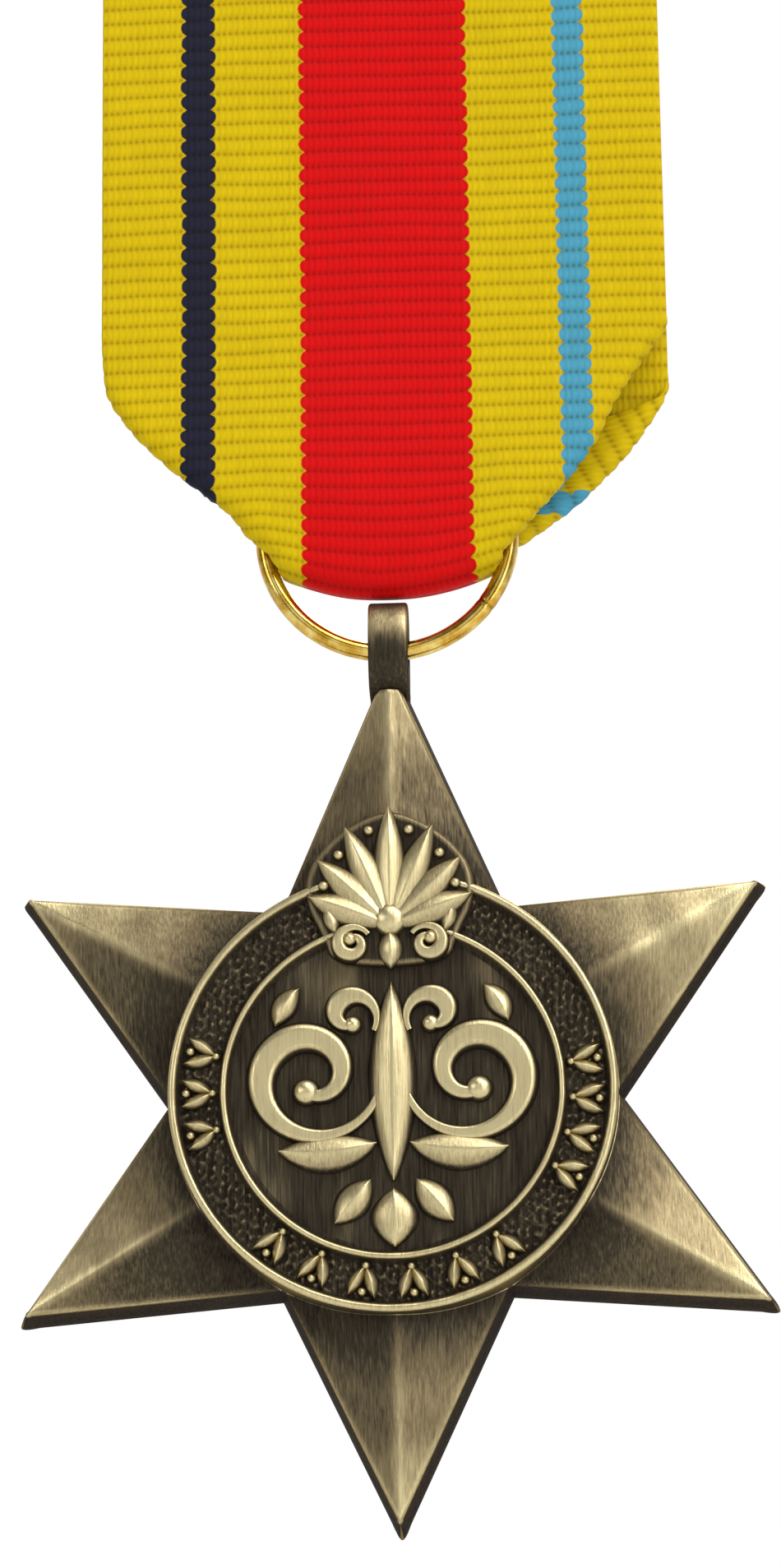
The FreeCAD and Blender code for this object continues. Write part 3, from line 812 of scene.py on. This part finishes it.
def plain_metal(name, dark, mid, light, rough, streak_scale, wear=False, strength=0.25):
    """Brushed or drawn metal; a small streak scale draws the brushing out along that axis."""
    n = Nodes(name)
    co = n.coords()
    streak = n.noise(n.stretch(co, streak_scale), 5200, 3, 0.6)
    cloud = n.noise(co, 600, 5, 0.6)
    fac = n.math("ADD", n.math("MULTIPLY", streak, 0.6), n.math("MULTIPLY", cloud, 0.5))
    if wear:
        fac = n.math("MULTIPLY", fac, n.math("MULTIPLY_ADD", n.attr("wear"), 0.85, 0.15))
    colour = n.ramp(fac, [(0.25, dark), (0.5, mid), (0.8, light)])
    r = n.math("ADD", rough - 0.06, n.math("MULTIPLY", cloud, 0.14))
    n.bump(streak, strength, 0.04)
    return n.out(Base_Color=colour, Metallic=1.0, Roughness=r)


def ribbon_cloth():
    """Ribbed cloth with the stripes' edges given in mm across the strip, and painted shade in the grooves
    between the ribs.
    """
    n = Nodes("grosgrain_stripes")
    uv = n.new("TexCoord").outputs["UV"]
    u = n.math("MULTIPLY", n.axes(uv)["X"], 10.0)
    # each coloured stripe bulges out at every rib
    rib = n.attr("rib")
    swell = n.math("MULTIPLY", n.math("SUBTRACT", rib, 0.6), 0.32)
    mid = n.vary(u, n.noise(uv, 9, 3), 0.22)
    outward = {-1: n.math("ADD", mid, swell), 1: n.math("SUBTRACT", mid, swell)}
    yellow, navy, red, pale = rgb(205, 176, 2), rgb(29, 29, 46), rgb(204, 4, 6), rgb(74, 150, 176)
    # where a colour starts, the colour, and which way its swollen edge bulges
    edges = [(-11.34, navy, -1), (-9.59, yellow, 1), (-4.59, red, -1), (4.86, yellow, 1),
             (10.0, pale, -1), (11.6, yellow, 1)]
    colour = n.mix(0.0, yellow, yellow)
    for at, col, way in edges:
        colour = n.mix(n.remap(outward[way], at - 0.04, at + 0.04, 0.0, 1.0), colour, col)
    # the grooves between the ribs are painted in shade, broken into ticks by the fine warp threads
    thread_pitch = 0.36
    uneven = n.math("ADD", u, n.math("MULTIPLY", n.noise(uv, 6, 2), 0.12))
    warp = n.math("SINE", n.math("MULTIPLY", uneven, 2 * math.pi / thread_pitch))
    threads = n.noise(n.stretch(uv, (60, 4, 1)), 1.0, 3, 0.6)
    blotch = n.noise(uv, 2.2, 3, 0.5)
    groove = n.math("SUBTRACT", 1.0, rib)
    # painted shade in the grooves, broken by the warp threads
    groove_shade = n.math("MULTIPLY", groove, n.math("MULTIPLY_ADD", warp, 0.2, 0.36))
    shade = n.math("SUBTRACT", 1.03, groove_shade)
    for pattern, share, base in ((threads, 0.36, 0.82), (warp, 0.035, 1.0), (blotch, 0.16, 0.92)):
        shade = n.math("MULTIPLY", shade, n.math("MULTIPLY_ADD", pattern, share, base))
    # the painted groove shade and the darker threads and blotches are also a little warmer
    grey = n.new("CombineColor")
    for i, power in enumerate((0.85, 1.0, 1.25)):
        n.tree.links.new(n.math("POWER", shade, power), grey.inputs[i])
    colour = n.mix(1.0, colour, grey.outputs[0], "MULTIPLY")
    height = n.math("ADD", n.math("MULTIPLY", warp, 0.5), n.math("MULTIPLY", threads, 0.8))
    n.bump(height, 0.5, 0.05)
    mat = n.out(Base_Color=colour, Roughness=n.math("MULTIPLY_ADD", threads, 0.2, 0.55))
    n.bsdf.inputs["Sheen Weight"].default_value = 0.04
    n.bsdf.inputs["Sheen Roughness"].default_value = 0.4
    n.bsdf.inputs["Specular IOR Level"].default_value = 0.1
    return mat


def thread_cloth():
    n = Nodes("seam_thread_cotton")
    co = n.coords()
    twist = n.noise(n.stretch(co, (1.0, 0.4, 1.0)), 6000, 3)
    colour = n.ramp(twist, [(0.3, rgb(150, 122, 16)), (0.7, rgb(226, 196, 60))])
    n.bump(twist, 0.5, 0.05)
    return n.out(Base_Color=colour, Roughness=0.8)


gilt = plain_metal("gilt_ring_wire", rgb(120, 86, 26), rgb(204, 160, 62), rgb(250, 228, 140), 0.17,
                   (0.3, 0.3, 0.3), wear=True, strength=0.08)
rolled = plain_metal("brooch_brass_rolled", rgb(120, 98, 52), rgb(186, 158, 92), rgb(226, 204, 140), 0.34,
                     (0.06, 1, 1))
stamped = plain_metal("brooch_brass_stamped", rgb(112, 90, 46), rgb(180, 150, 84), rgb(222, 198, 132), 0.36,
                      (1, 1, 1))
drawn = plain_metal("pin_steel_drawn", rgb(110, 110, 108), rgb(168, 168, 165), rgb(215, 215, 212), 0.25,
                    (0.03, 1, 1))
struck = star_brass()
for obj, mat in ((star_obj, struck), (lug_obj, struck), (ring_obj, gilt), (ribbon_obj, ribbon_cloth()),
                 (thread_obj, thread_cloth())):
    obj.data.materials.append(mat)
for node, mat in (("brooch_plate", rolled), ("hinge_bracket", stamped), ("hinge_rivet", stamped),
                  ("pin_catch", stamped), ("brooch_pin", drawn)):
    for material_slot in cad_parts[node].material_slots:
        material_slot.material = mat

# ------------------------------------------------------------------ stage, light and camera

FLOOR_Z = -0.170
bpy.ops.mesh.primitive_plane_add(size=12.0, location=(0, 0, FLOOR_Z))
floor = bpy.context.object
floor.name = "floor"
n = Nodes("pale_floor")
pale = n.ramp(n.noise(n.coords(), 30, 4), [(0.3, rgb(230, 230, 228)), (0.7, rgb(234, 234, 232))])
floor.data.materials.append(n.out(Base_Color=pale, Roughness=0.8))


def studio(dark, light):
    """A world that is dark in front of the medal, where its face looks, and light behind it."""
    world = bpy.data.worlds.new("studio")
    bpy.context.scene.world = world
    world.use_nodes = True
    tree = world.node_tree
    background = tree.nodes["Background"]
    coords, axes, remap, ramp = [tree.nodes.new("ShaderNode" + kind) for kind in
                                 ("TexCoord", "SeparateXYZ", "MapRange", "ValToRGB")]
    remap.inputs["From Min"].default_value = -0.6
    remap.inputs["From Max"].default_value = 0.6
    for stop, grey in zip(ramp.color_ramp.elements, (dark, light)):
        stop.color = (*grey, 1)
    tree.links.new(coords.outputs["Generated"], axes.inputs[0])
    tree.links.new(axes.outputs["Y"], remap.inputs["Value"])
    tree.links.new(remap.outputs[0], ramp.inputs[0])
    tree.links.new(ramp.outputs[0], background.inputs["Color"])
    background.inputs["Strength"].default_value = 1.0


def area(name, loc, target, size, power):
    """A square light at loc that looks at target."""
    data = bpy.data.lights.new(name, "AREA")
    data.energy = power
    data.size = size
    obj = bpy.data.objects.new(name, data)
    obj.location = loc
    obj.rotation_euler = (Vector(target) - Vector(loc)).to_track_quat("-Z", "Y").to_euler()
    bpy.context.scene.collection.objects.link(obj)


studio((0.12, 0.12, 0.124), (1.0, 1.0, 1.0))
bpy.context.scene.view_settings.view_transform = "Standard"
middle = (0, 0, -0.06)
area("key", (0.64, -0.80, 0.58), middle, 0.60, 5.7)
area("overhead", (0.12, -0.68, 0.86), middle, 0.52, 3.3)
area("fill_left", (-0.68, -0.84, 0.22), middle, 0.4, 1.6)
area("fill_right", (0.72, -0.92, 0.04), middle, 0.4, 1.4)
area("rim", (0.2, 0.6, 0.66), middle, 0.5, 3.2)
area("front", (-0.04, -1.0, 0.146), (0, 0, -0.076), 0.44, 0.5)

# the camera looks up at the medal from a little below and to the right
CAMERA_FROM_FACE = (13.1, -260.8, -58.7)        # from the outline's plane at the star's middle
AZIMUTH, LIFT, ROLL_DEG = 2.87, 16.29, -0.78
cam_data = bpy.data.cameras.new("camera")
cam = bpy.data.objects.new("camera", cam_data)
bpy.context.scene.collection.objects.link(cam)
bpy.context.scene.camera = cam
cam_data.sensor_fit = "VERTICAL"
cam_data.sensor_height = 36.0
cam_data.lens = 113.3
cam_data.clip_start = 0.01
cam_data.clip_end = 10
cam.location = (Vector((0, STAR_BACK - EDGE_H, STAR_Z)) + Vector(CAMERA_FROM_FACE)) * MM
az, lift, roll = [math.radians(a) for a in (AZIMUTH, LIFT, ROLL_DEG)]
ahead = Vector((-math.sin(az) * math.cos(lift), math.cos(az) * math.cos(lift), math.sin(lift)))
look = ahead.to_track_quat("-Z", "Y") @ Matrix.Rotation(roll, 4, "Z").to_quaternion()
cam.rotation_euler = look.to_euler()
